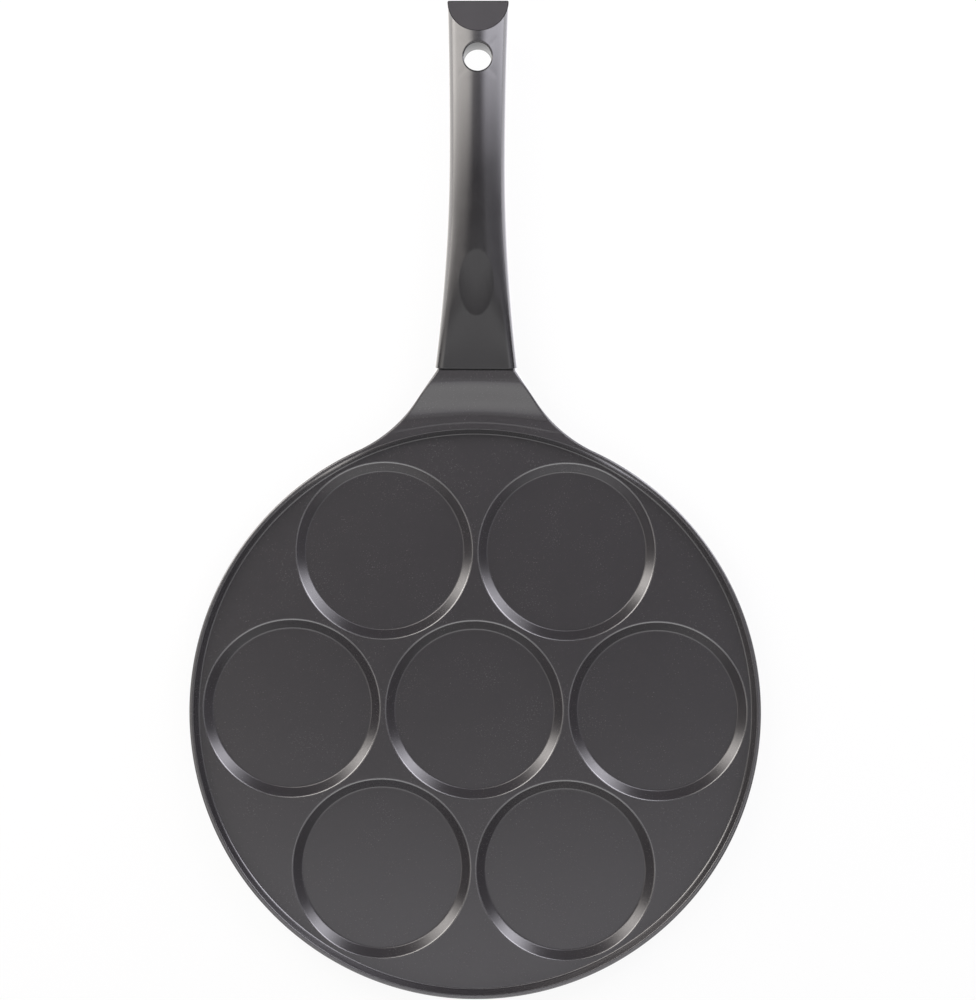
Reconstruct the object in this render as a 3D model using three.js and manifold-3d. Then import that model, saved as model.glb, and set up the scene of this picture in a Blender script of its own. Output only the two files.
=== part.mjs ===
// A round pancake pan with seven pockets: a coated aluminium casting with a flared neck, a phenolic handle
// seated on the casting's tang, a half-moon plate let into the handle's tail, and the screw and washers that
// hold the handle. Millimetres, +Z up, handle along +Y, origin at the middle of the base's underside.

import * as THREE from "three";
import { mergeVertices } from "three/addons/utils/BufferGeometryUtils.js";
import Module from "manifold-3d";

const wasm = await Module();
wasm.setup();

const radians = THREE.MathUtils.degToRad;
const { clamp, lerp, smoothstep } = THREE.MathUtils;

// Casting: pockets and floor
const ringPockets = 6; // round the middle one
const pocketDiameter = 81.4; // at the floor's surface
const pocketRun = 4; // width of the sloped wall, seen from above
const pocketDepth = 3.6;
const pocketEdge = 0.5; // rounding where the wall meets the floor
const pocketFoot = 1.2; // rounding where the wall meets the pocket's own floor
const pocketGap = 2.6; // floor left between two pockets
const baseThickness = 5.4; // metal under a pocket

// Casting: rim and outside
const rimLand = 2.3; // floor left between a pocket and the rim
const rimRun = 1.3; // how far the rim's inner wall leans out
const rimHeight = 6; // above the floor
const rimFoot = 0.8; // rounding where the rim meets the floor
const lipWidth = 1.7; // top of the rim
const lipRound = 0.8; // rounding of the lip's outer edge
const sideLean = 0.6; // draft of the upper side wall
const sideCurve = 9; // height of the curved lower side wall
const baseInset = 9; // flat base to the outside of the rim

// Casting: neck
const neckLength = 26.9; // rim to handle
const neckTaper = radians(32.6); // each side against the handle's axis
const neckFlare = 64; // radius of the arc that runs into the rim
const neckThickness = 10.5; // at the rim
const neckLedge = 4; // level strip beside the rim
const neckRun = 4; // straight run of the top before the joint
const neckSlope = radians(5); // of that run
const neckCorner = 2; // rounding of the neck's long edges
const neckStep = 0.9; // how far the handle stands proud of the neck
const neckBlend = 8; // length of the neck's root along the rim
const neckSink = 3; // depth of the neck's root in the rim

// Handle: axis and sections
const jointHeight = 16; // axis above the base, where handle and neck meet
const handleLength = 166; // along the axis
const frontSlope = radians(11.5); // of the axis at the neck
const tailSlope = radians(0.5); // of the axis at the tail
const waistAt = 95; // slimmest section, from the neck
const frontWidth = 37.4;
const waistWidth = 25.2;
const tailWidth = 27.8;
const frontCrown = 8.3; // above the axis
const waistCrown = 7.9;
const tailCrown = 8.5;
const frontBelly = 11; // below the axis
const waistBelly = 6.8;
const tailBelly = 6;
const frontCorner = 2.6; // rounding of the long edges at the neck
const roundFrom = 6; // the section turns from boxy to oval between these
const roundBy = 72;
const crownFlat = 1; // narrow flat left on top and below
const sideFlat = 1; // parting band left on each side

// Handle: scoop, hang hole and tail
const scoopAt = 38.5; // middle of the thumb scoop, from the neck
const scoopLength = 29; // its width follows from the depth and the curve of the top
const scoopDepth = 0.43;
const holeDiameter = 12.2;
const holeFromTail = 27.8;
const facetLength = 16.3; // slanted tail face, along the axis
const plateThickness = 1.5;
const plateLip = 0.4; // wall of the moulding round the plate

// Fixing
const seatGap = 0.3; // clearance between pieces that fit together
const tangLength = 40;
const tangWidth = 17;
const tangThickness = 5;
const tangRise = 1.3; // middle of the tang above the handle's axis
const tangRoot = 4; // overlap with the neck
const screwAt = 16; // from the neck
const screwDiameter = 5;
const screwLength = 9.4; // under the head
const headDiameter = 9.4;
const headHeight = 2.8;
const headEdge = 1.2; // straight edge of the domed head
const crossLength = 4.6;
const crossWidth = 1;
const crossDepth = 1.5;
const washerDiameter = 9.8;
const washerThickness = 0.8;
const springDiameter = 9.2;
const springThickness = 1.1;
const springSlit = 1;
const wellDiameter = 11.2;
const wellFloor = 1.9; // moulding clamped between washer and tang

// Fineness of the faceted surfaces
const rimSides = 72;
const pocketSides = 36;
const roundSides = 24;
const curveSteps = 4;
const cornerSteps = 6;
const sectionSteps = 24;
const handleSteps = 24;
const neckSteps = 14;
const weld = 1e-4;
const beyond = 60; // reach of a cutter past the piece that it cuts

// Sizes that follow
const pocketRadius = pocketDiameter / 2;
const pocketPitch = pocketDiameter + pocketGap;
const footRadius = pocketPitch + pocketRadius + rimLand;
const lipRadius = footRadius + rimRun;
const rimRadius = lipRadius + lipWidth;
const baseRadius = rimRadius - baseInset;
const floorHeight = baseThickness + pocketDepth;
const rimTop = floorHeight + rimHeight;
const jointY = rimRadius + neckLength;
const handleBend = frontSlope - tailSlope;

// Handle's own frame: its origin on the joint, +Y along the axis there
const handleGroup = new THREE.Group();
handleGroup.position.set(0, jointY, jointHeight);
handleGroup.rotation.x = frontSlope;
handleGroup.updateMatrix();

// Closed three.js geometry as a solid for joining and cutting
function solid(geometry) {
  const bare = geometry.clone();
  bare.deleteAttribute("normal");
  bare.deleteAttribute("uv");
  const merged = mergeVertices(bare, weld);
  const corners = merged.index.array;
  const triVerts = [];
  for (let i = 0; i < corners.length; i += 3) {
    const [a, b, c] = corners.slice(i, i + 3);
    if (a !== b && b !== c && c !== a) triVerts.push(a, b, c);
  }
  const skin = new wasm.Mesh({
    numProp: 3,
    vertProperties: new Float32Array(merged.attributes.position.array),
    triVerts: new Uint32Array(triVerts),
  });
  return new wasm.Manifold(skin);
}

function mesh(name, shape, material) {
  const { vertProperties, triVerts } = shape.getMesh();
  const geometry = new THREE.BufferGeometry();
  geometry.setAttribute("position", new THREE.BufferAttribute(new Float32Array(vertProperties), 3));
  geometry.setIndex(new THREE.BufferAttribute(new Uint32Array(triVerts), 1));
  geometry.computeVertexNormals();
  const piece = new THREE.Mesh(geometry, material);
  piece.name = name;
  return piece;
}

// Points of an elliptical arc as [r, z] pairs
function arc(r, z, radiusR, radiusZ, from, to) {
  const points = [];
  for (let i = 0; i <= curveSteps; i++) {
    const angle = lerp(from, to, i / curveSteps);
    points.push([r + radiusR * Math.cos(angle), z + radiusZ * Math.sin(angle)]);
  }
  return points;
}

// Solid of revolution about Z from [r, z] pairs that run upwards along the outside
function turned(profile, sides) {
  const points = profile.map(([r, z]) => new THREE.Vector2(r, z));
  return solid(new THREE.LatheGeometry(points, sides).rotateX(Math.PI / 2));
}

function rod(radius, from, to, sides = roundSides) {
  return turned([[0, from], [radius, from], [radius, to], [0, to]], sides);
}

// Box between two corners
function block(low, high) {
  const size = high.map((value, i) => value - low[i]);
  const middle = high.map((value, i) => (value + low[i]) / 2);
  return solid(new THREE.BoxGeometry(...size).translate(...middle));
}

function place(shape, matrix) {
  return shape.transform(matrix.elements);
}

// Closed skin over rings of Vector3 that run anticlockwise seen along the loft
function loft(rings) {
  const count = rings[0].length;
  const positions = rings.flat();
  const faces = [];
  for (let k = 0; k + 1 < rings.length; k++) {
    for (let i = 0; i < count; i++) {
      const a = k * count + i;
      const b = k * count + (i + 1) % count;
      faces.push(a, a + count, b, b, a + count, b + count);
    }
  }
  const last = (rings.length - 1) * count;
  for (let i = 1; i + 1 < count; i++) {
    faces.push(0, i, i + 1);
    faces.push(last, last + i + 1, last + i);
  }
  const geometry = new THREE.BufferGeometry().setFromPoints(positions);
  geometry.setIndex(faces);
  return solid(geometry);
}

// Rectangle with rounded corners as [x, z] pairs, its middle at the origin
function roundedRectangle(halfWidth, halfHeight, corner) {
  const points = [];
  [[1, 1], [-1, 1], [-1, -1], [1, -1]].forEach(([side, up], quarter) => {
    for (let i = 0; i <= cornerSteps; i++) {
      const angle = (quarter + i / cornerSteps) * Math.PI / 2;
      const x = side * (halfWidth - corner) + corner * Math.cos(angle);
      points.push([x, up * (halfHeight - corner) + corner * Math.sin(angle)]);
    }
  });
  return points;
}

// Handle

// Value at a distance from the neck that eases from front to waist and from waist to tail
function eased(at, front, waist, tail) {
  if (at < waistAt) return waist + (front - waist) * (1 - at / waistAt) ** 2;
  return waist + (tail - waist) * ((at - waistAt) / (handleLength - waistAt)) ** 2;
}

// How far an elliptical edge has dropped at a distance inside it
function edgeDrop(inside, spread, rise) {
  const share = clamp(1 - inside / spread, 0, 1);
  return rise * (1 - Math.sqrt(1 - share * share));
}

// Section across the axis as [x, z] pairs, a blend of a boxy and an oval one
function handleSection(at, inset) {
  const halfWidth = eased(at, frontWidth, waistWidth, tailWidth) / 2 - inset;
  const crown = eased(at, frontCrown, waistCrown, tailCrown) - inset;
  const belly = eased(at, frontBelly, waistBelly, tailBelly) - inset;
  const roundness = smoothstep(at, roundFrom, roundBy);
  const height = (x, tall) => {
    const inside = halfWidth - Math.abs(x);
    const boxy = edgeDrop(inside, frontCorner, frontCorner);
    const oval = edgeDrop(inside, halfWidth - crownFlat / 2, tall - sideFlat / 2);
    return tall - lerp(boxy, oval, roundness);
  };
  const top = [];
  const bottom = [];
  for (let i = 0; i <= sectionSteps; i++) {
    const x = halfWidth * Math.cos(Math.PI * i / sectionSteps);
    top.push([x, height(x, crown)]);
    bottom.push([-x, -height(x, belly)]);
  }
  return [...top, ...bottom];
}

// Frame on the handle's curved axis at a distance from the neck
function axisFrame(at) {
  const turn = handleBend * at / handleLength;
  const chord = turn === 0 ? at : at * Math.sin(turn / 2) / (turn / 2);
  const frame = new THREE.Matrix4().makeRotationX(-turn);
  return frame.setPosition(0, chord * Math.cos(turn / 2), -chord * Math.sin(turn / 2));
}

function handleBlank(inset) {
  const rings = [];
  for (let i = 0; i <= handleSteps; i++) {
    const at = (handleLength - inset) * i / handleSteps;
    const frame = axisFrame(at);
    const points = handleSection(at, inset);
    rings.push(points.map(([x, z]) => new THREE.Vector3(x, 0, z).applyMatrix4(frame)));
  }
  return loft(rings);
}

// Frame on the slanted tail face: origin at its foot, +Z out of the face, +Y down it
function facetFrame() {
  const slant = new THREE.Matrix4().makeRotationX(-Math.atan2(tailCrown, facetLength));
  return axisFrame(handleLength).multiply(slant);
}

// Layer of space over the slanted tail face, between two heights above it
function facetLayer(from, to) {
  return place(block([-beyond, -beyond, from], [beyond, beyond, to]), facetFrame());
}

function tailInlay(inset, depth, height) {
  return handleBlank(inset).intersect(facetLayer(-depth, height));
}

// Shallow round cut across the top, which itself bends along the axis
function thumbScoop() {
  const radius = 1 / (8 * scoopDepth / scoopLength ** 2 - handleBend / handleLength);
  const crown = eased(scoopAt, frontCrown, waistCrown, tailCrown);
  const reach = Math.asin(scoopLength / radius); // to twice the length
  const cut = new THREE.Shape();
  cut.absarc(0, crown - scoopDepth + radius, radius, -Math.PI / 2 - reach, -Math.PI / 2 + reach);
  const settings = { depth: frontWidth, curveSegments: roundSides, bevelEnabled: false };
  const bar = new THREE.ExtrudeGeometry(cut, settings).translate(0, 0, -frontWidth / 2);
  return place(solid(bar.rotateX(Math.PI / 2).rotateZ(Math.PI / 2)), axisFrame(scoopAt));
}

function hangHole() {
  return place(rod(holeDiameter / 2, -beyond, beyond), axisFrame(handleLength - holeFromTail));
}

// Heights on the screw's axis, in the handle's own frame
const tangBottom = tangRise - tangThickness / 2;
const wellTop = tangBottom - seatGap - wellFloor;
const washerTop = wellTop - seatGap;
const springTop = washerTop - washerThickness - seatGap;
const headTop = springTop - springThickness - seatGap;

function tangBlock(grow, from) {
  const half = tangWidth / 2 + grow;
  const top = tangBottom + tangThickness + grow;
  return block([-half, from, tangBottom - grow], [half, tangLength + grow, top]);
}

function onScrewAxis(shape) {
  return shape.translate([0, screwAt, 0]);
}

function screwClearance(from, to) {
  return onScrewAxis(rod(screwDiameter / 2 + seatGap, from, to));
}

function handle() {
  return handleBlank(0)
    .subtract(facetLayer(0, beyond))
    .subtract(tailInlay(plateLip, plateThickness + seatGap, beyond))
    .subtract(hangHole())
    .subtract(thumbScoop())
    .subtract(tangBlock(seatGap, -beyond))
    .subtract(screwClearance(wellTop - seatGap, tangBottom))
    .subtract(onScrewAxis(rod(wellDiameter / 2, -beyond, wellTop)));
}

function tailPlate() {
  return tailInlay(plateLip + seatGap, plateThickness, 0);
}

// Fixing

function handleScrew() {
  const edge = headTop - headEdge;
  const dome = arc(0, edge, headDiameter / 2, headHeight - headEdge, -Math.PI / 2, 0);
  const shank = screwDiameter / 2;
  const tip = headTop + screwLength;
  const profile = [...dome, [headDiameter / 2, headTop], [shank, headTop], [shank, tip], [0, tip]];
  const bottom = headTop - headHeight;
  const [long, short] = [crossLength / 2, crossWidth / 2];
  const slot = block([-long, -short, bottom - headHeight], [long, short, bottom + crossDepth]);
  const screw = turned(profile, roundSides).subtract(slot).subtract(slot.rotate([0, 0, 90]));
  return onScrewAxis(screw);
}

function ring(outer, top, thickness) {
  const bore = screwDiameter / 2 + seatGap;
  return rod(outer / 2, top - thickness, top).subtract(rod(bore, top - beyond, top + beyond));
}

function springWasher() {
  const half = springSlit / 2;
  const slit = block([0, -half, springTop - beyond], [springDiameter, half, springTop + beyond]);
  return onScrewAxis(ring(springDiameter, springTop, springThickness).subtract(slit));
}

function flatWasher() {
  return onScrewAxis(ring(washerDiameter, washerTop, washerThickness));
}

// Casting

function bodyBlank() {
  const sideRadius = rimRadius - sideLean;
  const lower = arc(baseRadius, sideCurve, sideRadius - baseRadius, sideCurve, -Math.PI / 2, 0);
  const lip = arc(rimRadius - lipRound, rimTop - lipRound, lipRound, lipRound, 0, Math.PI / 2);
  return turned([[0, 0], ...lower, ...lip, [0, rimTop]], rimSides);
}

// Hollow with a rounded foot between a floor and a leaning wall
function hollow(floor, footAt, mouthAt, rise, foot, sides) {
  const lean = Math.atan2(mouthAt - footAt, rise);
  const back = foot * Math.tan((Math.PI / 2 - lean) / 2);
  const bend = arc(footAt - back, floor + foot, foot, foot, -Math.PI / 2, -lean);
  const wallEnd = mouthAt + (mouthAt - footAt) / rise * beyond;
  return turned([[0, floor], ...bend, [wallEnd, floor + rise + beyond], [0, floor + rise + beyond]], sides);
}

// Small flare that eases a pocket's mouth into the floor
function pocketMouth() {
  const low = floorHeight - pocketEdge;
  const inner = pocketRadius - pocketEdge * pocketRun / pocketDepth;
  const outer = pocketRadius + pocketEdge;
  return turned([[0, low], [inner, low], [outer, floorHeight], [outer, rimTop], [0, rimTop]], pocketSides);
}

function pocket() {
  const floor = floorHeight - pocketDepth;
  const bowl = hollow(floor, pocketRadius - pocketRun, pocketRadius, pocketDepth, pocketFoot, pocketSides);
  return bowl.intersect(rod(pocketRadius, 0, rimTop, pocketSides)).add(pocketMouth());
}

function tray() {
  return hollow(floorHeight, footRadius, lipRadius, rimHeight, rimFoot, rimSides);
}

function pocketPlaces() {
  const places = [[0, 0, 0]];
  for (let i = 0; i < ringPockets; i++) {
    const angle = i * 2 * Math.PI / ringPockets;
    places.push([pocketPitch * Math.cos(angle), pocketPitch * Math.sin(angle), 0]);
  }
  return places;
}

// Half-width of the neck along Y: a straight taper from the joint, then an arc that touches the rim's circle
function neckOutline() {
  const out = new THREE.Vector2(Math.cos(neckTaper), Math.sin(neckTaper));
  const along = new THREE.Vector2(Math.sin(neckTaper), -Math.cos(neckTaper));
  const start = new THREE.Vector2(frontWidth / 2 - neckStep, jointY);
  const centre = start.clone().addScaledVector(out, neckFlare);
  const reach = rimRadius + neckFlare;
  const fall = centre.dot(along);
  const run = -fall - Math.sqrt(fall * fall - centre.lengthSq() + reach * reach);
  centre.addScaledVector(along, run);
  const taperEnd = start.y + along.y * run;
  const rootY = centre.y * rimRadius / reach;
  const halfWidth = (y) => {
    if (y >= taperEnd) return start.x + (start.y - y) * Math.tan(neckTaper);
    if (y >= rootY) return centre.x - Math.sqrt(neckFlare ** 2 - (y - centre.y) ** 2);
    return Math.sqrt(rimRadius ** 2 - y * y) - neckSink * (rootY - y) / neckBlend;
  };
  return { rootY, halfWidth };
}

// Height of the neck's top at a distance from the pan's middle: level by the rim, a rise, a straight run
function neckTop(distance) {
  const start = rimRadius + neckLedge;
  const span = jointY - neckRun - start;
  const slope = Math.tan(neckSlope);
  const t = clamp((distance - start) / span, 0, 1);
  const toJoint = jointY - Math.max(distance, start + span);
  const end = jointHeight + (frontCrown - neckStep) * Math.cos(frontSlope) - toJoint * slope;
  return lerp(rimTop, end, (3 - 2 * t) * t * t) + (t - 1) * t * t * span * slope;
}

function neck() {
  const { rootY, halfWidth } = neckOutline();
  const jointBottom = jointHeight - (frontBelly - neckStep) * Math.cos(frontSlope);
  const backY = rootY - neckBlend;
  const rings = [];
  for (let i = 0; i <= neckSteps; i++) {
    const t = i / neckSteps;
    const y = lerp(backY, jointY, t);
    const bottom = lerp(rimTop - neckThickness, jointBottom, t);
    const half = (neckTop(y) - bottom) / 2;
    const outline = roundedRectangle(halfWidth(y), half, Math.min(neckCorner, half));
    const ringPoints = outline.map(([x, z]) => {
      const distance = lerp(Math.hypot(x, y), y, t);
      const height = lerp(bottom, neckTop(distance), (z + half) / (2 * half));
      const lean = (height - jointHeight) * Math.tan(frontSlope) * t + seatGap * t;
      return new THREE.Vector3(x, y - lean, height);
    });
    rings.push(ringPoints);
  }
  return loft(rings);
}

function panBody() {
  const tang = place(tangBlock(0, -tangRoot), handleGroup.matrix);
  const tapping = place(screwClearance(tangBottom - beyond, tangBottom + beyond), handleGroup.matrix);
  let body = bodyBlank().add(neck()).add(tang).subtract(tapping).subtract(tray());
  const cut = pocket();
  for (const spot of pocketPlaces()) body = body.subtract(cut.translate(spot));
  return body;
}

// Finishes
const coating = new THREE.MeshStandardMaterial({ color: 0x3c3a3c, roughness: 0.5, metalness: 0.15 });
const phenolic = new THREE.MeshStandardMaterial({ color: 0x333133, roughness: 0.42, metalness: 0 });
const platePlastic = new THREE.MeshStandardMaterial({ color: 0x3e3c3f, roughness: 0.5, metalness: 0 });
const steel = new THREE.MeshStandardMaterial({ color: 0xb9bbbd, roughness: 0.35, metalness: 1 });

handleGroup.add(mesh("handle", handle(), phenolic));
handleGroup.add(mesh("tail_plate", tailPlate(), platePlastic));
handleGroup.add(mesh("handle_screw", handleScrew(), steel));
handleGroup.add(mesh("spring_washer", springWasher(), steel));
handleGroup.add(mesh("flat_washer", flatWasher(), steel));

const pan = new THREE.Group();
pan.add(mesh("pan_body", panBody(), coating));
pan.add(handleGroup);

export default pan;
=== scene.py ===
import math

import bmesh
import bpy
from mathutils import Matrix, Vector


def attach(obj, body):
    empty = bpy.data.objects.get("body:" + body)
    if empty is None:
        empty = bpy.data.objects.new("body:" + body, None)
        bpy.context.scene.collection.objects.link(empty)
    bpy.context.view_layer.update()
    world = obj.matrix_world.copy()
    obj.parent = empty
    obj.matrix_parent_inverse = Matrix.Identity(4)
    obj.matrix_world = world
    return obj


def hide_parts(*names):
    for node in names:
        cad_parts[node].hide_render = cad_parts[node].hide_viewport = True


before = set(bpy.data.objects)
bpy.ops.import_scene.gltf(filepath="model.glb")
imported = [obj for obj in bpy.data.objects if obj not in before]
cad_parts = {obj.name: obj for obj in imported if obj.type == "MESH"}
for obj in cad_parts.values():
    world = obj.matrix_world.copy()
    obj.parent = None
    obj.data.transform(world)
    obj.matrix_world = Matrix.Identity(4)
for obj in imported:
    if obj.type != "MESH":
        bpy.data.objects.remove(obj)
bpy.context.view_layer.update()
print("frame:", sorted(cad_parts))

mm = 0.001  # pieces are modelled in millimetres and scaled when their object is made
fullTurn = 2 * math.pi
quarterTurn = math.pi / 2
mergeGap = 0.002  # vertices closer than this become one
sameLevel = 1e-4  # vertices this close to a level lie on it
nearZero = 1e-6  # keeps a division from failing


def blend(a, b, share):
    return a + (b - a) * share


def clamp(value, low=0.0, high=1.0):
    return max(low, min(high, value))


def smooth(value, low, high):
    share = clamp((value - low) / (high - low))
    return share * share * (3 - 2 * share)


# Mesh tools

def arcPoints(centre, radii, start, end, steps):
    points = []
    for i in range(steps + 1):
        angle = math.radians(blend(start, end, i / steps))
        points.append((centre[0] + radii[0] * math.cos(angle), centre[1] + radii[1] * math.sin(angle)))
    return points


def spinProfile(bm, points, steps, centre=(0, 0), angle=fullTurn, rise=0):
    verts = [bm.verts.new((centre[0] + r, centre[1], z)) for r, z in points]
    edges = [bm.edges.new(pair) for pair in zip(verts, verts[1:])]
    bmesh.ops.spin(bm, geom=verts + edges, cent=(*centre, 0), axis=(0, 0, 1), angle=angle,
                   dvec=(0, 0, rise / steps), steps=steps, use_merge=angle == fullTurn)


def mergeDoubles(bm):
    bmesh.ops.remove_doubles(bm, verts=bm.verts, dist=mergeGap)


def openEdges(bm, test):
    return [e for e in bm.edges if len(e.link_faces) < 2 and all(test(v) for v in e.verts)]


def openEdgesAt(bm, axis, level):
    return openEdges(bm, lambda v: abs(getattr(v.co, axis) - level) < sameLevel)


# Extrudes a loop of edges once for each stage and returns the last loop. A stage places a vertex by the key
# that it takes over from the vertex it grew from.
def sweepLoop(bm, edges, keys, stages):
    for stage in stages:
        grown = bmesh.ops.extrude_edge_only(bm, edges=edges)["geom"]
        fresh = {g for g in grown if isinstance(g, bmesh.types.BMVert)}
        newKeys = {}
        for v in fresh:
            source = next(o for o in (e.other_vert(v) for e in v.link_edges) if o not in fresh)
            newKeys[v] = keys[source]
            v.co = stage(newKeys[v])
        edges = [g for g in grown if isinstance(g, bmesh.types.BMEdge) and fresh.issuperset(g.verts)]
        keys = newKeys
    return edges


def fillLoop(bm, edges):
    return bmesh.ops.contextual_create(bm, geom=edges)["faces"]


def addObject(name, data):
    made = bpy.data.objects.new(name, data)
    bpy.context.scene.collection.objects.link(made)
    return made


def finishPiece(bm, name, node, material, place=None, sharpAngle=34):
    mergeDoubles(bm)
    bmesh.ops.recalc_face_normals(bm, faces=bm.faces)
    bmesh.ops.transform(bm, matrix=Matrix.Scale(mm, 4) @ (place or Matrix.Identity(4)), verts=bm.verts)
    for face in bm.faces:
        face.smooth = True
    for edge in bm.edges:
        edge.smooth = edge.calc_face_angle(0) < math.radians(sharpAngle)
    stray = sum(1 for e in bm.edges if not e.is_manifold)
    mesh = bpy.data.meshes.new(name)
    bm.to_mesh(mesh)
    bm.free()
    mesh.materials.append(material)
    piece = addObject(name, mesh)
    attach(piece, "root")
    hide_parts(node)
    print(name, "faces", len(mesh.polygons), "open or stray edges", stray)


# Shader tools

class Shade:
    def __init__(self, tree, socket=None):
        self.tree = tree
        self.socket = socket

    def node(self, kind, settings=None, sockets=None, out=0):
        made = self.tree.nodes.new("ShaderNode" + kind)
        for name, value in (settings or {}).items():
            setattr(made, name, value)
        for name, value in (sockets or {}).items():
            if isinstance(value, Shade):
                self.tree.links.new(value.socket, made.inputs[name])
            else:
                made.inputs[name].default_value = value
        return Shade(self.tree, made.outputs[out] if made.outputs else None)

    def output(self, name):
        return Shade(self.tree, self.socket.node.outputs[name])

    def maths(self, operation, *others):
        return self.node("Math", {"operation": operation}, dict(enumerate((self, *others))))

    def __add__(self, other):
        return self.maths("ADD", other)

    def __sub__(self, other):
        return self.maths("SUBTRACT", other)

    def __rsub__(self, other):
        return self.node("Math", {"operation": "SUBTRACT"}, {0: other, 1: self})

    def __mul__(self, other):
        return self.maths("MULTIPLY", other)

    __radd__ = __add__
    __rmul__ = __mul__

    # Eases from 0 at the first limit to 1 at the second, which may be the lower one
    def mapped(self, first, second):
        limits = {"Value": self, "From Min": first, "From Max": second}
        return self.node("MapRange", {"interpolation_type": "SMOOTHSTEP"}, limits)

    # 1 between two limits, fading out past them
    def band(self, low, high, soft):
        return self.mapped(low - soft, low) * self.mapped(high + soft, high)

    def noise(self, scale, detail, roughness):
        sockets = {"Vector": self, "Scale": scale, "Detail": detail, "Roughness": roughness}
        return self.node("TexNoise", None, sockets)

    # Sockets 6 and 7 of a Mix node take its colours, and output 2 gives the mixed one
    def mixed(self, dark, light):
        tones = {"Factor": self, 6: (*dark, 1), 7: (*light, 1)}
        return self.node("Mix", {"data_type": "RGBA"}, tones, 2)


def freshNodes(block):
    block.use_nodes = True
    block.node_tree.nodes.clear()
    return Shade(block.node_tree)


def newMaterial(name):
    material = bpy.data.materials.new(name)
    return material, freshNodes(material)


def surface(start, colour, roughness, height, look, shine=None):
    relief = {"Height": height, "Strength": look["bumpStrength"], "Distance": look["bumpDepth"] * mm}
    sockets = {"Base Color": colour, "Roughness": roughness, "Normal": start.node("Bump", None, relief)}
    shader = start.node("BsdfPrincipled", None, {**sockets, **look["shader"], **(shine or {})})
    start.node("OutputMaterial", None, {"Surface": shader})


# Coated casting

pan = {
    "pocketRadius": 40.7, "pocketRun": 4.0, "pocketDepth": 3.6, "pocketEdge": 1.15, "pocketFoot": 1.2,
    "pocketPitch": 84.0, "pocketsAround": 6, "pocketSides": 144, "pocketEdgeSteps": 8, "pocketFootSteps": 6,
    "floorHeight": 9.0, "footRadius": 127.0, "rimFoot": 0.8, "rimFootSteps": 5, "holdWidth": 0.3,
    "rimRadius": 130.3, "rimTop": 15.0, "rimSides": 360,
    "lipRadius": 128.3, "lipInner": 0.35, "lipInnerSteps": 4, "lipOuter": 0.8, "lipOuterSteps": 5,
    "sideRadius": 129.7, "sideCurve": 9.0, "sideSteps": 12, "baseRadius": 121.0, "baseHub": 2,
    "grooveFrom": 112, "groovePitch": 13, "grooveWidth": 0.9, "grooveDepth": 0.2,
}

neck = {
    "jointY": 156.9, "jointZ": 16.0, "slope": math.radians(11.5), "gap": 0.85,
    "halfWidth": 17.8, "crown": 7.4, "belly": 10.1, "corner": 1.2,
    "sector": math.radians(25), "rootAngle": math.radians(-45), "underside": 4.9, "rootEase": 2.1,
    "taper": math.radians(32.6), "flare": 64.0, "sections": 46, "sectionEase": 1.6,
    "ledge": 4.0, "jointRun": 4.0, "runSlope": math.radians(5.0),
    "stepAt": 131.1, "stepRun": 0.7, "stepRise": 0.22,
    "shoulder": 3.5, "shoulderSide": 0.5, "shoulderGap": 0.03,
    "tangWidth": 17.0, "tangThickness": 5.0, "tangRise": 1.3, "tangLength": 40.0,
}


def pocketPlaces():
    pitch, count = pan["pocketPitch"], pan["pocketsAround"]
    ring = [math.radians(360 / count * i) for i in range(count)]
    return [(0.0, 0.0)] + [(pitch * math.cos(a), pitch * math.sin(a)) for a in ring]


def pocketProfile():
    slope = math.atan2(pan["pocketDepth"], pan["pocketRun"])
    angle, share = math.degrees(slope), math.tan(slope / 2)
    edge, foot = pan["pocketEdge"], pan["pocketFoot"]
    top, low = pan["floorHeight"], pan["floorHeight"] - pan["pocketDepth"]
    mouth = (pan["pocketRadius"] + edge * share, top - edge)
    root = (pan["pocketRadius"] - pan["pocketRun"] - foot * share, low + foot)
    points = [(mouth[0] + pan["holdWidth"], top)]
    points += arcPoints(mouth, (edge, edge), 90, 90 + angle, pan["pocketEdgeSteps"])
    points += arcPoints(root, (foot, foot), angle - 90, -90, pan["pocketFootSteps"])
    return points + [(root[0] - pan["holdWidth"], low), (0, low)]


def rimProfile():
    lean = math.atan2(pan["lipRadius"] - pan["footRadius"], pan["rimTop"] - pan["floorHeight"])
    steep = math.degrees(quarterTurn - lean)
    share = math.tan((quarterTurn - lean) / 2)
    foot, inner, outer = pan["rimFoot"], pan["lipInner"], pan["lipOuter"]
    floor, top = pan["floorHeight"], pan["rimTop"]
    root = (pan["footRadius"] - foot * share, floor + foot)
    innerLip = (pan["lipRadius"] + inner * share, top - inner)
    outerLip = (pan["rimRadius"] - outer, top - outer)
    side = (pan["sideRadius"] - pan["baseRadius"], pan["sideCurve"])
    points = [(root[0] - pan["holdWidth"], floor)]
    points += arcPoints(root, (foot, foot), -90, steep - 90, pan["rimFootSteps"])
    points += arcPoints(innerLip, (inner, inner), 90 + steep, 90, pan["lipInnerSteps"])
    points += arcPoints(outerLip, (outer, outer), 90, 0, pan["lipOuterSteps"])
    points += arcPoints((pan["baseRadius"], pan["sideCurve"]), side, 0, -90, pan["sideSteps"])
    half, depth = pan["grooveWidth"] / 2, pan["grooveDepth"]
    for r in range(pan["grooveFrom"], pan["groovePitch"], -pan["groovePitch"]):
        points += [(r + half, 0), (r + half / 2, depth), (r - half / 2, depth), (r - half, 0)]
    return points + [(pan["baseHub"], 0), (0, 0)]


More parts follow.
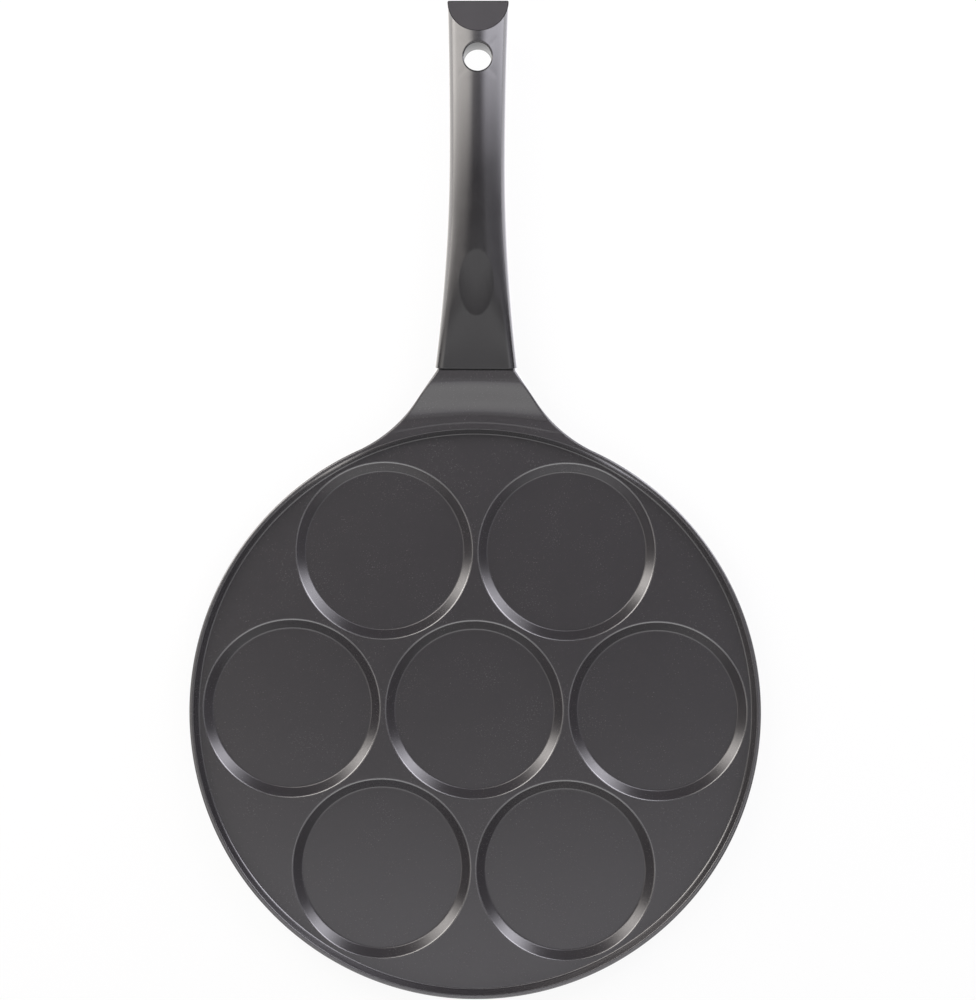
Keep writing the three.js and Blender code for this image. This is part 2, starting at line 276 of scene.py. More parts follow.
# Half-width of the neck along Y: a straight taper from the joint, then an arc that touches the rim's circle
def neckOutline():
    out = Vector((math.cos(neck["taper"]), math.sin(neck["taper"])))
    along = Vector((out.y, -out.x))
    start = Vector((neck["halfWidth"], neck["jointY"]))
    centre = start + out * neck["flare"]
    reach = pan["rimRadius"] + neck["flare"]
    fall = centre.dot(along)
    run = -fall - math.sqrt(fall * fall - centre.length_squared + reach * reach)
    centre += along * run
    taperEnd = start.y + along.y * run
    rootY = centre.y * pan["rimRadius"] / reach

    def neckHalf(y):
        if y >= taperEnd:
            return start.x + (start.y - y) * math.tan(neck["taper"])
        if y >= rootY:
            return centre.x - math.sqrt(neck["flare"] ** 2 - (y - centre.y) ** 2)
        return math.sqrt(pan["rimRadius"] ** 2 - y * y)

    return neckHalf


# Height of the neck's top: level at the rim with a small step behind it, then rising to the joint
def neckTop(distance):
    start = pan["rimRadius"] + neck["ledge"]
    end = neck["jointZ"] + neck["crown"] * math.cos(neck["slope"])
    span = neck["jointY"] - neck["jointRun"] - start
    t = clamp((distance - start) / span)
    slope = math.tan(neck["runSlope"])
    end -= (neck["jointY"] - max(distance, start + span)) * slope
    step = neck["stepRise"] * smooth(distance, neck["stepAt"], neck["stepAt"] + neck["stepRun"]) * (1 - t)
    return blend(pan["rimTop"], end, t * t * (3 - 2 * t)) + (t - 1) * t * t * span * slope + step


def handlePlace():
    shift = Matrix.Translation((0, neck["jointY"], neck["jointZ"]))
    return shift @ Matrix.Rotation(neck["slope"], 4, "X")


# Moves a point onto the tang's outline, or with a gap onto its socket's, in the handle's own place
def tangPoint(start, at, gap=0):
    x, z = start.x, start.z - neck["tangRise"]
    halfX, halfZ = neck["tangWidth"] / 2 + gap, neck["tangThickness"] / 2 + gap
    scale = min(halfX / max(abs(x), nearZero), halfZ / max(abs(z), nearZero))
    return Vector((x * scale, at, z * scale + neck["tangRise"]))


def addNeck(bm):
    radius, top, reach, corner = pan["rimRadius"], pan["rimTop"], neck["sector"], neck["corner"]
    lowZ = pan["sideCurve"] * (1 + math.sin(neck["rootAngle"]))
    lowR = pan["baseRadius"] + (pan["sideRadius"] - pan["baseRadius"]) * math.cos(neck["rootAngle"])
    lipR = radius - pan["lipOuter"]
    tiny = 1e-3  # room for rounding where vertices are picked by their place

    def bearing(v):
        return abs(math.atan2(v.co.x, v.co.y))

    def distance(v):
        return math.hypot(v.co.x, v.co.y)

    def level(v):
        return round(v.co.z, 4)

    def inPatch(v):
        outside = distance(v) > (lipR if v.co.z > pan["floorHeight"] - tiny else lowR) - tiny
        return bearing(v) < reach + tiny and outside and v.co.z > lowZ - tiny

    bmesh.ops.delete(bm, geom=[f for f in bm.faces if all(inPatch(v) for v in f.verts)], context="FACES")
    edges = openEdges(bm, inPatch)
    verts = list(dict.fromkeys(v for e in edges for v in e.verts))

    # Rows down the patch's side: how far each stands in from the outline, and how high, at the rim and at
    # the joint
    rows = sorted({level(v) for v in verts if abs(bearing(v) - reach) < tiny}, reverse=True)
    rimInset, jointInset, rimShare, jointShare = {}, {}, {}, {}
    jointTall = neck["crown"] + neck["belly"]
    roundTop = [z for z in rows if z > top - pan["lipOuter"] - tiny]
    roundLow = [z for z in rows if z < pan["sideCurve"] + tiny]
    for v in verts:
        if level(v) in rows:
            rimInset[level(v)] = radius - distance(v)
            rimShare[level(v)] = (v.co.z - lowZ) / (top - lowZ)
    for i, z in enumerate(roundTop):
        turn = quarterTurn * i / (len(roundTop) - 1)
        jointInset[z] = corner * (1 - math.sin(turn))
        jointShare[z] = 1 - corner * (1 - math.cos(turn)) / jointTall
    for i, z in enumerate(roundLow):
        turn = quarterTurn * i / (len(roundLow) - 1)
        jointInset[z] = corner * (1 - math.cos(turn))
        jointShare[z] = corner * (1 - math.sin(turn)) / jointTall

    # A vertex's key: its row, how far across the patch it is, from -1 to 1, and its Y at the rim
    keys = {v: (level(v), v.co.x / (distance(v) * math.sin(reach)), v.co.y) for v in verts}
    neckHalf = neckOutline()
    edgeY = radius * math.cos(reach)
    jointLow = neck["jointZ"] - neck["belly"] * math.cos(neck["slope"])

    def flat(key, share):
        z, across, startY = key
        y = blend(edgeY, neck["jointY"], share)
        facing = Vector((blend(math.sin(reach), 1, share), blend(math.cos(reach), 0, share))).normalized()
        side = Vector((neckHalf(y), y)) - facing * blend(rimInset[z], jointInset[z], share)
        bow = startY - (radius - rimInset[z]) * math.cos(reach)
        return Vector((side.x * across, side.y + bow * (1 - share)))

    def neckStage(share):
        def point(key):
            z, across = key[:2]
            upper = lower = spot = flat(key, share)
            if abs(across) >= 1 - tiny:
                upper = flat((rows[0], across, lipR * math.cos(reach)), share)
                lower = flat((rows[-1], across, lowR * math.cos(reach)), share)
            high = neckTop(blend(upper.length, upper.y, share))
            under = blend(neck["underside"], jointLow, share)
            fade = math.exp(-max(0.0, lower.length - lowR) / neck["rootEase"]) * (1 - share)
            low = under - (neck["underside"] - lowZ) * fade
            height = blend(low, high, blend(rimShare[z], jointShare[z], share))
            lean = ((height - neck["jointZ"]) * math.tan(neck["slope"]) + neck["gap"]) * share
            return Vector((spot.x, spot.y - lean, height))
        return point

    count = neck["sections"]
    stages = [neckStage((i / count) ** neck["sectionEase"]) for i in range(1, count + 1)]
    edges = sweepLoop(bm, edges, keys, stages)

    # Shoulder in the joint's gap, then the tang, a bar that runs into the handle
    place = handlePlace()
    back = place.inverted()
    local = {v: back @ v.co for e in edges for v in e.verts}
    middle = (neck["crown"] - neck["belly"]) / 2

    def shoulderStage(at=None):
        def point(start):
            x = start.x * (1 - neck["shoulderSide"] / neck["halfWidth"])
            z = blend(start.z, middle, 2 * neck["shoulder"] / jointTall)
            return place @ Vector((x, start.y if at is None else at, z))
        return point

    def tangStage(at):
        return lambda start: place @ tangPoint(start, at)

    near = -neck["shoulderGap"]
    stages = [shoulderStage(), shoulderStage(near), tangStage(near), tangStage(neck["tangLength"])]
    fillLoop(bm, sweepLoop(bm, edges, local, stages))


def buildPan(material):
    bm = bmesh.new()
    for centre in pocketPlaces():
        spinProfile(bm, pocketProfile(), pan["pocketSides"], centre)
    spinProfile(bm, rimProfile(), pan["rimSides"])
    mergeDoubles(bm)
    floor = openEdgesAt(bm, "z", pan["floorHeight"])
    bmesh.ops.triangle_fill(bm, use_beauty=True, edges=floor, normal=(0, 0, 1))
    addNeck(bm)
    finishPiece(bm, "panBody", "pan_body", material)


# Moulded handle, made straight and then bent. Width, crown and belly are given at its front, waist and tail.

handle = {
    "length": 166.0, "bend": math.radians(11.0), "waistAt": 95.0,
    "width": (37.4, 25.2, 27.8), "crown": (8.3, 7.9, 8.5), "belly": (11.0, 6.8, 6.0),
    "corner": 4.0, "roundFrom": 6.0, "roundBy": 72.0, "flat": 1.0,
    "columns": 48, "rows": 112, "sharpAngle": 26,
    "frontRound": 0.2, "frontHold": 0.15, "tailRound": 0.8, "endSteps": 5,
    "windowMargin": 1.3, "windowRows": 1.5, "spareRings": (0.6, 0.25), "roundSteps": 5,
    "scoopAt": 38.5, "scoopHalf": (7.8, 14.8), "scoopDepth": 0.43,
    "scoopRings": (1.05, 1.01, 0.99, 0.95, 0.9, 0.84, 0.76, 0.66, 0.54, 0.42, 0.3, 0.18, 0.08),
    "holeAt": 138.8, "holeRadius": 6.3, "holeRound": 0.75,
    "facetLength": 16.3, "plateLip": 0.35, "recess": 1.8, "socketGap": 0.3,
}

# Well for the screw's head and bore for its shank, up from the handle's underside
well = {"at": 16.0, "radius": 5.6, "round": 0.5, "top": -3.4, "boreRadius": 2.8, "boreTop": -1.6}


def eased(at, sizes):
    front, waist, tail = sizes
    if at < handle["waistAt"]:
        return waist + (front - waist) * (1 - at / handle["waistAt"]) ** 2
    return waist + (tail - waist) * ((at - handle["waistAt"]) / (handle["length"] - handle["waistAt"])) ** 2


def endInset(at):
    front, tail = handle["frontRound"], handle["tailRound"]
    ahead = clamp(front - at, 0, front)
    past = clamp(at - handle["length"] + tail, 0, tail)
    return front - math.sqrt(front ** 2 - ahead ** 2) + tail - math.sqrt(tail ** 2 - past ** 2)


def halfWidth(at):
    return eased(at, handle["width"]) / 2 - endInset(at)


# How far an elliptical edge has dropped at a distance inside it
def edgeDrop(inside, spread, rise):
    share = clamp(1 - inside / spread)
    return rise * (1 - math.sqrt(1 - share * share))


# Height of the skin over or under the axis: a blend of a boxy and an oval section
def skinHeight(at, x, upper):
    half, spare = halfWidth(at), handle["flat"] / 2
    tall = eased(at, handle["crown" if upper else "belly"]) - endInset(at)
    inside = half - abs(x)
    boxy = edgeDrop(inside, handle["corner"], handle["corner"])
    oval = edgeDrop(inside, half - spare, tall - spare)
    height = tall - blend(boxy, oval, smooth(at, handle["roundFrom"], handle["roundBy"]))
    return height if upper else -height


def ringPoint(at, column):
    count = handle["columns"]
    upper = column <= count
    if upper:
        turn = quarterTurn - math.pi * column / count
    else:
        turn = math.pi * (column - count - 1) / count - quarterTurn
    x = halfWidth(at) * math.sin(turn)
    return Vector((x, at, skinHeight(at, x, upper)))


def bendDown(bm):
    for v in bm.verts:
        x, y, z = v.co
        turn = handle["bend"] * y / handle["length"]
        half = turn / 2
        chord = y * math.sin(half) / half if abs(turn) > nearZero else y
        v.co = (x, chord * math.cos(half) + z * math.sin(turn), z * math.cos(turn) - chord * math.sin(half))


# Where the handle's rings stand along it, closer together at its rounded ends
def stations():
    length, rows, steps = handle["length"], handle["rows"], handle["endSteps"]
    front, hold, tail = handle["frontRound"], handle["frontHold"], handle["tailRound"]
    straight = length - front - hold - tail
    turns = [math.radians(90 / steps * i) for i in range(steps + 1)]
    places = [front * (1 - math.cos(t)) for t in turns] + [front + hold / 2]
    places += [front + hold + straight * i / rows for i in range(rows + 1)]
    return places + [length - tail * (1 - math.sin(t)) for t in turns[1:]]


# Opens a window in the skin over an oval and returns its edge, with each vertex's bearing from the middle
def openWindow(bm, at, halves, upper):
    layerRow, layerColumn = bm.verts.layers.int["row"], bm.verts.layers.int["column"]
    count, margin = handle["columns"], handle["windowMargin"]
    middle = count // 2 if upper else count + 1 + count // 2
    reach = math.ceil(math.asin((halves[0] + margin) / halfWidth(at)) / math.pi * count)
    deep = halves[1] + margin + handle["windowRows"]
    rows = [i for i, place in enumerate(stations()) if abs(place - at) < deep]

    def inside(v):
        return rows[0] <= v[layerRow] <= rows[-1] and abs(v[layerColumn] - middle) <= reach

    bmesh.ops.delete(bm, geom=[f for f in bm.faces if all(inside(v) for v in f.verts)], context="FACES")
    edges = openEdges(bm, inside)
    keys = {v: math.atan2((v.co.y - at) / halves[1], v.co.x / halves[0]) for e in edges for v in e.verts}
    return edges, keys


# A ring on an oval, dropped into the skin by a little or set at a level of its own
def ovalStage(at, halves, scale, drop, upper, level=None):
    def point(bearing):
        x, y = halves[0] * scale * math.cos(bearing), at + halves[1] * scale * math.sin(bearing)
        if level is not None:
            return Vector((x, y, level))
        return Vector((x, y, skinHeight(y, x, upper) + (-drop if upper else drop)))
    return point


# Rings round a hole's edge: the spare ones lie on the skin, the others turn down into the hole
def edgeStages(at, radius, rounding, upper):
    rings = [(radius + rounding + spare, 0) for spare in handle["spareRings"]]
    for i in range(handle["roundSteps"] + 1):
        turn = quarterTurn * i / handle["roundSteps"]
        rings.append((radius + rounding * (1 - math.sin(turn)), rounding * (1 - math.cos(turn))))
    return [ovalStage(at, (1, 1), size, drop, upper) for size, drop in rings]


def handleTube(bm):
    places, ring = stations(), 2 * handle["columns"] + 2
    bmesh.ops.create_cone(bm, segments=ring, radius1=1, radius2=1, depth=1)
    upright = [e for e in bm.edges if abs(e.verts[0].co.z - e.verts[1].co.z) > 0.5]
    bmesh.ops.subdivide_edges(bm, edges=upright, cuts=len(places) - 2)
    layerRow, layerColumn = bm.verts.layers.int.new("row"), bm.verts.layers.int.new("column")
    for v in bm.verts:
        v[layerRow] = round((v.co.z + 0.5) * (len(places) - 1))
        v[layerColumn] = round(math.atan2(v.co.y, v.co.x) / fullTurn * ring) % ring
        v.co = ringPoint(places[v[layerRow]], v[layerColumn])


def addScoop(bm):
    at, halves, depth = handle["scoopAt"], handle["scoopHalf"], handle["scoopDepth"]
    edges, keys = openWindow(bm, at, halves, True)
    drops = [(scale, depth * max(0, 1 - scale ** 2)) for scale in handle["scoopRings"]]
    stages = [ovalStage(at, halves, scale, drop, True) for scale, drop in drops]
    fillLoop(bm, sweepLoop(bm, edges, keys, stages))


def addHangHole(bm):
    at, radius, rounding = handle["holeAt"], handle["holeRadius"], handle["holeRound"]
    ends = []
    for upper in (True, False):
        edges, keys = openWindow(bm, at, (radius + rounding, radius + rounding), upper)
        ends += sweepLoop(bm, edges, keys, edgeStages(at, radius, rounding, upper))
    bmesh.ops.bridge_loops(bm, edges=ends)


def addScrewWell(bm):
    at, radius, bore = well["at"], well["radius"], well["boreRadius"]
    edges, keys = openWindow(bm, at, (radius, radius), False)
    stages = edgeStages(at, radius, well["round"], False)
    for size, level in ((radius, well["top"]), (bore, well["top"]), (bore, well["boreTop"])):
        stages.append(ovalStage(at, (1, 1), size, 0, False, level))
    fillLoop(bm, sweepLoop(bm, edges, keys, stages))


def addSocket(bm):
    edges = openEdgesAt(bm, "y", 0)
    starts = {v: v.co.copy() for e in edges for v in e.verts}
    gap = handle["socketGap"]

    def socketStage(at):
        return lambda start: tangPoint(start, at, gap)

    fillLoop(bm, sweepLoop(bm, edges, starts, [socketStage(0), socketStage(neck["tangLength"] + gap)]))


# Cuts the tail on the slant and returns the face of the cut and where it looks
def cutTail(bm):
    length = handle["length"]
    fillLoop(bm, openEdgesAt(bm, "y", length))
    slant = Vector((0, handle["crown"][2], handle["facetLength"])).normalized()
    cut = bmesh.ops.bisect_plane(bm, geom=bm.verts[:] + bm.edges[:] + bm.faces[:], dist=sameLevel,
                                 plane_co=(0, length, 0), plane_no=slant, clear_outer=True)["geom_cut"]
    rim = [g for g in cut if isinstance(g, bmesh.types.BMEdge)]
    return fillLoop(bm, rim)[0], slant


# Returns the outline of the tail's slanted end, for the plate that lies in it, and where it looks
def buildHandle(material):
    bm = bmesh.new()
    handleTube(bm)
    addScoop(bm)
    addHangHole(bm)
    addScrewWell(bm)
    addSocket(bm)
    facet, slant = cutTail(bm)
    outline = [v.co.copy() for v in facet.verts]
    bmesh.ops.inset_individual(bm, faces=[facet], thickness=handle["plateLip"], use_even_offset=True)
    sunk = bmesh.ops.extrude_discrete_faces(bm, faces=[facet])["faces"][0]
    bmesh.ops.translate(bm, verts=sunk.verts, vec=slant * -handle["recess"])
    bendDown(bm)
    finishPiece(bm, "handle", "handle", material, handlePlace(), handle["sharpAngle"])
    return outline, slant


# Plate in the tail's end

plate = {"gap": 0.35, "thickness": 1.5}


def buildPlate(material, outline, slant):
    bm = bmesh.new()
    face = bm.faces.new([bm.verts.new(co) for co in outline])
    border = bmesh.ops.inset_individual(bm, faces=[face], thickness=handle["plateLip"] + plate["gap"],
                                        use_even_offset=True)["faces"]
    bmesh.ops.delete(bm, geom=border, context="FACES")
    back = bmesh.ops.extrude_face_region(bm, geom=[face])["geom"]
    verts = [g for g in back if isinstance(g, bmesh.types.BMVert)]
    bmesh.ops.translate(bm, verts=verts, vec=slant * -plate["thickness"])
    bendDown(bm)
    finishPiece(bm, "tailPlate", "tail_plate", material, handlePlace())


# Screw and washers, on the screw's axis under the handle

screw = {
    "headTop": -6.2, "headRadius": 4.7, "headHeight": 2.8, "headEdge": 1.2, "headFlat": 3.0, "headBevel": 0.2,
    "shankRadius": 2.5, "shankLength": 9.4, "tipBevel": 0.5, "sides": 48, "domeSteps": 6,
    "crossLength": 4.6, "crossWidth": 1.0, "crossDepth": 1.5, "crossTaper": 0.75,
}

flatWasher = {"top": -3.7, "radius": 4.9, "thickness": 0.8, "bevel": 0.12, "sides": 64}

springWasher = {"top": -4.8, "radius": 4.6, "thickness": 1.1, "bevel": 0.1, "sides": 64,
                "turn": math.radians(346), "start": math.radians(7), "rise": -0.25}


def screwPlace():
    return handlePlace() @ Matrix.Translation((0, well["at"], 0))


def buildScrew(material):
    bm = bmesh.new()
    top, radius, bevel = screw["headTop"], screw["headRadius"], screw["headBevel"]
    edge, dome = top - screw["headEdge"], screw["headHeight"] - screw["headEdge"]
    flatRadius = screw["headFlat"]
    shank, tip, tipBevel = screw["shankRadius"], top + screw["shankLength"], screw["tipBevel"]
    lowest = edge - dome * math.sqrt(1 - (flatRadius / radius) ** 2)
    start = -math.degrees(math.acos(flatRadius / radius))
    profile = arcPoints((0, edge), (radius, dome), start, 0, screw["domeSteps"])
    profile += [(radius, top - bevel), (radius - bevel, top), (shank + bevel, top), (shank, top + bevel)]
    profile += [(shank, tip - tipBevel), (shank - tipBevel, tip), (0, tip)]
    spinProfile(bm, profile, screw["sides"])

    # Cross in the head, which tapers inwards
    long, short = screw["crossLength"] / 2, screw["crossWidth"] / 2
    corners = []
    for i in range(4):
        turn = Matrix.Rotation(-quarterTurn * i, 2)
        corners += [turn @ Vector(p) for p in ((short, long), (short, short), (long, short))]
    verts = [bm.verts.new((p.x, p.y, lowest)) for p in corners]
    cross = [bm.edges.new(pair) for pair in zip(verts, verts[1:] + verts[:1])]
    mergeDoubles(bm)
    bmesh.ops.triangle_fill(bm, use_beauty=True, edges=openEdgesAt(bm, "z", lowest), normal=(0, 0, -1))
    starts = {v: v.co.copy() for v in verts}
    taper = screw["crossTaper"]

    def recess(start):
        return Vector((start.x * taper, start.y * taper, start.z + screw["crossDepth"]))

    fillLoop(bm, sweepLoop(bm, cross, starts, [recess]))
    finishPiece(bm, "handleScrew", "handle_screw", material, screwPlace())


def washerProfile(washer):
    bore, radius, soft = well["boreRadius"], washer["radius"], washer["bevel"]
    top, low = washer["top"], washer["top"] - washer["thickness"]
    under = [(bore, low + soft), (bore + soft, low), (radius - soft, low), (radius, low + soft)]
    over = [(radius, top - soft), (radius - soft, top), (bore + soft, top), (bore, top - soft)]
    return under + over + under[:1]


def buildWashers(material):
    bm = bmesh.new()
    spinProfile(bm, washerProfile(flatWasher), flatWasher["sides"])
    finishPiece(bm, "flatWasher", "flat_washer", material, screwPlace())
    bm = bmesh.new()
    profile = washerProfile(springWasher)
    spinProfile(bm, profile, springWasher["sides"], angle=springWasher["turn"], rise=springWasher["rise"])
    mergeDoubles(bm)
    turn = Matrix.Rotation(springWasher["start"], 3, "Z")
    bmesh.ops.rotate(bm, verts=bm.verts, cent=(0, 0, 0), matrix=turn)
    bmesh.ops.holes_fill(bm, edges=bm.edges, sides=len(profile))
    finishPiece(bm, "springWasher", "spring_washer", material, screwPlace())


# Finishes. A noise has a scale, a detail and a roughness. Tone gives each noise's share in the colour, and
# spread says how far the noises move the roughness.

noiseMiddle = 0.5

coat = {
    "dark": (0.0228, 0.0213, 0.0239), "light": (0.0379, 0.0346, 0.0371), "tone": (0.5, 0.3, 0.2),
    "grain": (1500.0, 3, 0.65), "mottle": (420.0, 2, 0.5), "patch": (60.0, 2, 0.5),
    "roughness": 0.25, "spread": (0.14, 0.04), "bumpStrength": 0.35, "bumpDepth": 0.03,
    "edgeBand": (-0.35, 0.4, 0.15), "edgeHeight": (7, 8), "edgeShine": 0.75,
    "rimBand": (-0.6, 0.5, 0.4), "rimHeight": (8.6, 9), "rimShine": 0.6,
    "insideFade": 0.2, "lipHeight": (13.9, 14.2), "neckFade": (122, 105),
    "shader": {"IOR": 1.71, "Coat IOR": 2.0, "Coat Roughness": 0.2},
}
phenolic = {
    "dark": (0.0088, 0.0080, 0.0090), "light": (0.0130, 0.0119, 0.0133), "tone": (0.5, 0.5),
    "grain": (1900.0, 3, 0.6), "patch": (90.0, 2, 0.5), "roughness": 0.2, "spread": (0.12, 0.08),
    "bumpStrength": 0.25, "bumpDepth": 0.02, "shader": {"IOR": 1.83},
}
platePlastic = {
    "dark": (0.050, 0.0475, 0.051), "light": (0.062, 0.059, 0.063), "tone": (0.5, 0.5),
    "grain": (2400.0, 3, 0.6), "patch": (120.0, 2, 0.5), "roughness": 0.42, "spread": (0.12, 0.08),
    "bumpStrength": 0.25, "bumpDepth": 0.02, "shader": {"IOR": 1.5},
}
zinc = {
    "dark": (0.52, 0.53, 0.54), "light": (0.68, 0.69, 0.70), "tone": (0.5, 0.5),
    "grain": (900.0, 3, 0.6), "patch": (300.0, 2, 0.5), "roughness": 0.3, "spread": (0.12, 0.08),
    "bumpStrength": 0.15, "bumpDepth": 0.02, "shader": {"Metallic": 1.0},
}


def buildCoat():
    material, start = newMaterial("nonStickCoat")
    spot = start.node("TexCoord", out="Object")
    grain, mottle, patch = (spot.noise(*coat[name]) for name in ("grain", "mottle", "patch"))
    scaled = start.node("VectorMath", {"operation": "SCALE"}, {0: spot, "Scale": 1 / mm})
    across = start.node("SeparateXYZ", None, {"Vector": scaled})
    along, height = across.output("Y"), across.output("Z")
    plan = start.node("CombineXYZ", None, {"X": across, "Y": along})

    def away(x, y):
        return start.node("VectorMath", {"operation": "DISTANCE"}, {0: plan, 1: (x, y, 0)}, "Value")

    distances = [away(x, y) for x, y in pocketPlaces()]
    middle = nearest = distances[0]
    for distance in distances[1:]:
        nearest = nearest.maths("MINIMUM", distance)

    # The coat is shinier on the pockets' edges and over the rim, but not on the side wall or by the neck
    low, high, soft = coat["edgeBand"]
    edge = nearest.band(pan["pocketRadius"] + low, pan["pocketRadius"] + high, soft)
    low, high, soft = coat["rimBand"]
    rim = middle.band(pan["footRadius"] + low, pan["rimRadius"] + high, soft)
    inside = middle.mapped(pan["sideRadius"], pan["sideRadius"] - coat["insideFade"])
    shown = inside.maths("MAXIMUM", height.mapped(*coat["lipHeight"])) * along.mapped(*coat["neckFade"])
    edgeShine = edge * height.mapped(*coat["edgeHeight"]) * coat["edgeShine"]
    shine = edgeShine + rim * height.mapped(*coat["rimHeight"]) * shown * coat["rimShine"]

    tone, spread = coat["tone"], coat["spread"]
    colour = (grain * tone[0] + mottle * tone[1] + patch * tone[2]).mixed(coat["dark"], coat["light"])
    roughness = coat["roughness"] + (grain - noiseMiddle) * spread[0] + (patch - noiseMiddle) * spread[1]
    surface(start, colour, roughness, grain, coat, {"Coat Weight": shine})
    return material


def buildPlain(name, look):
    material, start = newMaterial(name)
    spot = start.node("TexCoord", out="Object")
    grain, patch = spot.noise(*look["grain"]), spot.noise(*look["patch"])
    tone, spread = look["tone"], look["spread"]
    colour = (grain * tone[0] + patch * tone[1]).mixed(look["dark"], look["light"])
    roughness = look["roughness"] + (grain - noiseMiddle) * spread[0] + (patch - noiseMiddle) * spread[1]
    surface(start, colour, roughness, grain, look)
    return material


coatFinish = buildCoat()
handleFinish = buildPlain("phenolicMoulding", phenolic)
plateFinish = buildPlain("tailPlastic", platePlastic)
zincFinish = buildPlain("zincSteel", zinc)
print("finishes made")

buildPan(coatFinish)
tailOutline, tailSlant = buildHandle(handleFinish)
buildPlate(plateFinish, tailOutline, tailSlant)
buildScrew(zincFinish)
buildWashers(zincFinish)

# Floor, lights and camera

studio = {"floorSize": 12.0, "floorDrop": 0.3 * mm, "floorColour": 0.9, "floorGlow": 0.9,
          "aim": (0.0, 0.15, 0.0), "warm": (1.0, 0.955, 0.92), "cool": (0.965, 0.945, 1.03)}

# Each softbox runs from its low end to its high end, in metres, and turns its face to the pan, or to its own
# aim. Its light fades towards the low end, the high end and both sides, over these shares of its size.
softboxes = {
    "rightPanel": {"low": (0.97, 0.54, 0.0), "high": (0.02, 0.50, 1.06), "width": 0.6, "radiance": 5.2,
                   "fade": (0.03, 0.34, 0.5), "tint": "cool"},
    "leftPanel": {"low": (-1.02, 0.44, 0.0), "high": (-0.035, 0.50, 1.06), "width": 0.62, "radiance": 5.3,
                  "fade": (0.03, 0.34, 0.5), "tint": "warm"},
    "rightStrip": {"low": (2.68, 2.97, 0.15), "high": (2.68, 2.97, 1.75), "width": 2.8, "radiance": 2.9,
                   "fade": (0.1, 0.4, 0.4), "tint": "cool"},
    "leftStrip": {"low": (-3.65, 1.63, 0.15), "high": (-3.65, 1.63, 1.75), "width": 2.0, "radiance": 2.2,
                  "fade": (0.1, 0.4, 0.4), "tint": "warm"},
    "backPanel": {"low": (0.0, 0.66, 0.98), "high": (0.0, 0.24, 1.08), "width": 0.9, "radiance": 0.55,
                  "fade": (0.3, 0.5, 0.1), "tint": "cool"},
    "frontCeiling": {"low": (0.0, -0.62, 1.0), "high": (0.0, -0.17, 1.1), "width": 1.0, "radiance": 0.65,
                     "fade": (0.3, 0.35, 0.25), "tint": "cool"},
    "rightCeiling": {"low": (1.2, -0.03, 0.4), "high": (0.23, -0.03, 1.1), "width": 0.8, "radiance": 0.45,
                     "fade": (0.3, 0.15, 0.35), "tint": "cool"},
    "leftCeiling": {"low": (-1.2, -0.05, 0.4), "high": (-0.21, -0.05, 1.1), "width": 0.9, "radiance": 0.9,
                    "fade": (0.3, 0.35, 0.35), "tint": "warm"},
    "rightCard": {"low": (0.01, 0.3, 0.004), "high": (0.9, 0.3, 0.004), "width": 0.48, "radiance": 2.0,
                  "fade": (0.02, 0.3, 0.1), "tint": "cool", "aim": (0.0, 0.31, 1.0)},
    "leftCard": {"low": (-0.01, 0.3, 0.004), "high": (-0.9, 0.3, 0.004), "width": 0.48, "radiance": 2.0,
                 "fade": (0.02, 0.3, 0.1), "tint": "warm", "aim": (0.0, 0.31, 1.0)},
}


def buildFloor():
    bm = bmesh.new()
    bmesh.ops.create_grid(bm, x_segments=1, y_segments=1, size=studio["floorSize"] / 2)
    mesh = bpy.data.meshes.new("floor")
    bm.to_mesh(mesh)
    bm.free()
    mesh.transform(Matrix.Translation((0, 0, -studio["floorDrop"])))
    floor = addObject("floor", mesh)
    material, start = newMaterial("paleFloor")
    path = start.node("LightPath", out="Is Camera Ray")
    seen = path.maths("MAXIMUM", path.output("Is Glossy Ray"))
    seen = seen.maths("MAXIMUM", path.output("Is Transmission Ray"))
    grey = studio["floorColour"]
    paint = start.node("BsdfDiffuse", None, {"Color": (grey, grey, grey, 1)})
    white = start.node("Emission", None, {"Color": (1, 1, 1, 1), "Strength": 1.0})
    upside = start.node("MixShader", None, {0: seen * studio["floorGlow"], 1: paint, 2: white})
    below = start.node("NewGeometry", out="Backfacing")
    clear = start.node("BsdfTransparent")  # the pan's underside can be looked at from below
    shown = start.node("MixShader", None, {0: below, 1: upside, 2: clear})
    start.node("OutputMaterial", None, {"Surface": shown})
    mesh.materials.append(material)


def addSoftbox(name, look):
    low, high = Vector(look["low"]), Vector(look["high"])
    middle, along = (low + high) / 2, (high - low).normalized()
    back = middle - Vector(look.get("aim", studio["aim"]))
    back = (back - along * back.dot(along)).normalized()
    light = bpy.data.lights.new(name, "AREA")
    light.shape = "RECTANGLE"
    light.size, light.size_y = look["width"], (high - low).length
    light.energy = look["radiance"] * math.pi * light.size * light.size_y
    light.color = studio[look["tint"]]
    lamp = addObject(name, light)
    turn = Matrix((along.cross(back), along, back)).transposed()
    lamp.matrix_world = Matrix.Translation(middle) @ turn.to_4x4()
    lamp.visible_camera = False
    start = freshNodes(light)
    across = start.node("SeparateXYZ", None, {"Vector": start.node("NewGeometry", out="Parametric")})
    upward = across.output("Y")
    lowFade, highFade, sideFade = look["fade"]
    ends = upward.mapped(0, lowFade) * upward.mapped(1, 1 - highFade)
    glow = ends * across.mapped(0, sideFade) * across.mapped(1, 1 - sideFade)
    start.node("OutputLight", None, {"Surface": start.node("Emission", None, {"Strength": glow})})


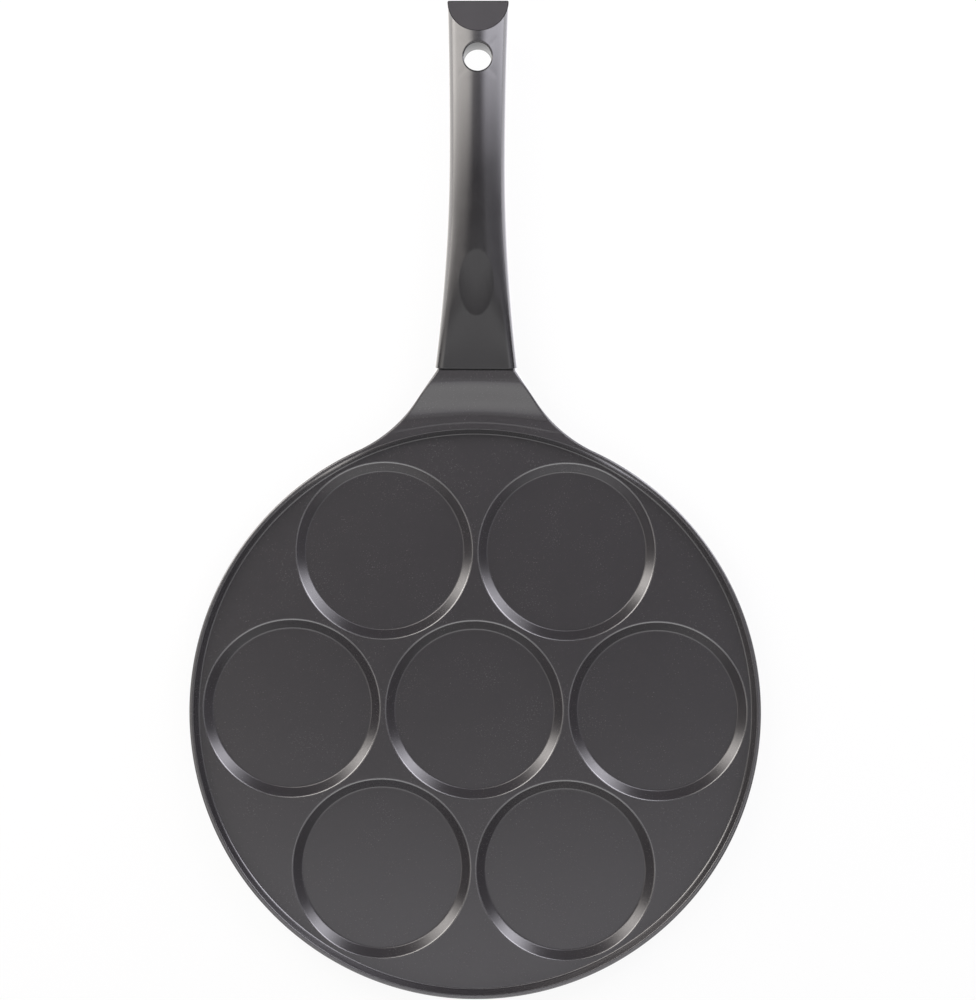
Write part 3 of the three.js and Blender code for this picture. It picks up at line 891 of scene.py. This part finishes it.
# The room around: an even glow, a broad bright side in front, and a narrow band above that, short of straight
# up. Limits are parts of a direction: forward, to either side and upward.
room = {
    "even": 0.11,
    "band": 0.9, "bandStart": (0.08, 0.165), "bandEnd": (0.32, 0.16), "bandAside": (0.85, 0.3),
    "front": 1.66, "frontStart": (0.3, 0.75), "frontAside": (0.95, 0.3), "frontUp": (0.16, 0.42),
}


def buildWorld():
    world = bpy.data.worlds.new("studio")
    bpy.context.scene.world = world
    start = freshNodes(world)
    camera = start.node("LightPath", out="Is Camera Ray")
    across = start.node("SeparateXYZ", None, {"Vector": start.node("TexCoord", out="Generated")})
    forward, upward, aside = 0 - across.output("Y"), across.output("Z"), across.maths("ABSOLUTE")
    band = forward.mapped(*room["bandStart"]) * forward.mapped(*room["bandEnd"])
    band = band * aside.mapped(*room["bandAside"]) * room["band"]
    front = forward.mapped(*room["frontStart"]) * aside.mapped(*room["frontAside"])
    front = front * upward.mapped(*room["frontUp"]) * room["front"]
    light = band + front + room["even"]
    glow = {"Color": (1, 1, 1, 1), "Strength": (1 - camera) * light + camera}
    start.node("OutputWorld", None, {"Surface": start.node("Background", None, glow)})


# Eye and target are in millimetres, the focal length and the picture's centre in its pixels
photoView = {"eye": (10.87, 53.06, 892.75), "target": (-11.93, 93.69, 0.0), "roll": math.radians(0.3987),
             "focalPixels": 1920.0, "centrePixel": (450.16, 506.23), "picture": (976, 1000), "sensor": 36}


def buildCamera():
    width, height = photoView["picture"]
    data = bpy.data.cameras.new("photoCamera")
    data.sensor_width = photoView["sensor"]
    data.lens = photoView["focalPixels"] / height * data.sensor_width
    data.shift_x = (width / 2 - photoView["centrePixel"][0]) / height
    data.shift_y = (photoView["centrePixel"][1] - height / 2) / height
    camera = addObject("photoCamera", data)
    eye, target = Vector(photoView["eye"]) * mm, Vector(photoView["target"]) * mm
    forward = (target - eye).normalized()
    right = forward.cross(Vector((0, 1, 0))).normalized()
    turn = Matrix((right, right.cross(forward), -forward)).transposed()
    turn = turn @ Matrix.Rotation(photoView["roll"], 3, "Z")
    camera.matrix_world = Matrix.Translation(eye) @ turn.to_4x4()
    bpy.context.scene.camera = camera


buildFloor()
for softboxName, softbox in softboxes.items():
    addSoftbox(softboxName, softbox)
buildWorld()
buildCamera()
bpy.context.scene.view_settings.view_transform = "Standard"
print("studio made")

bpy.context.view_layer.update()
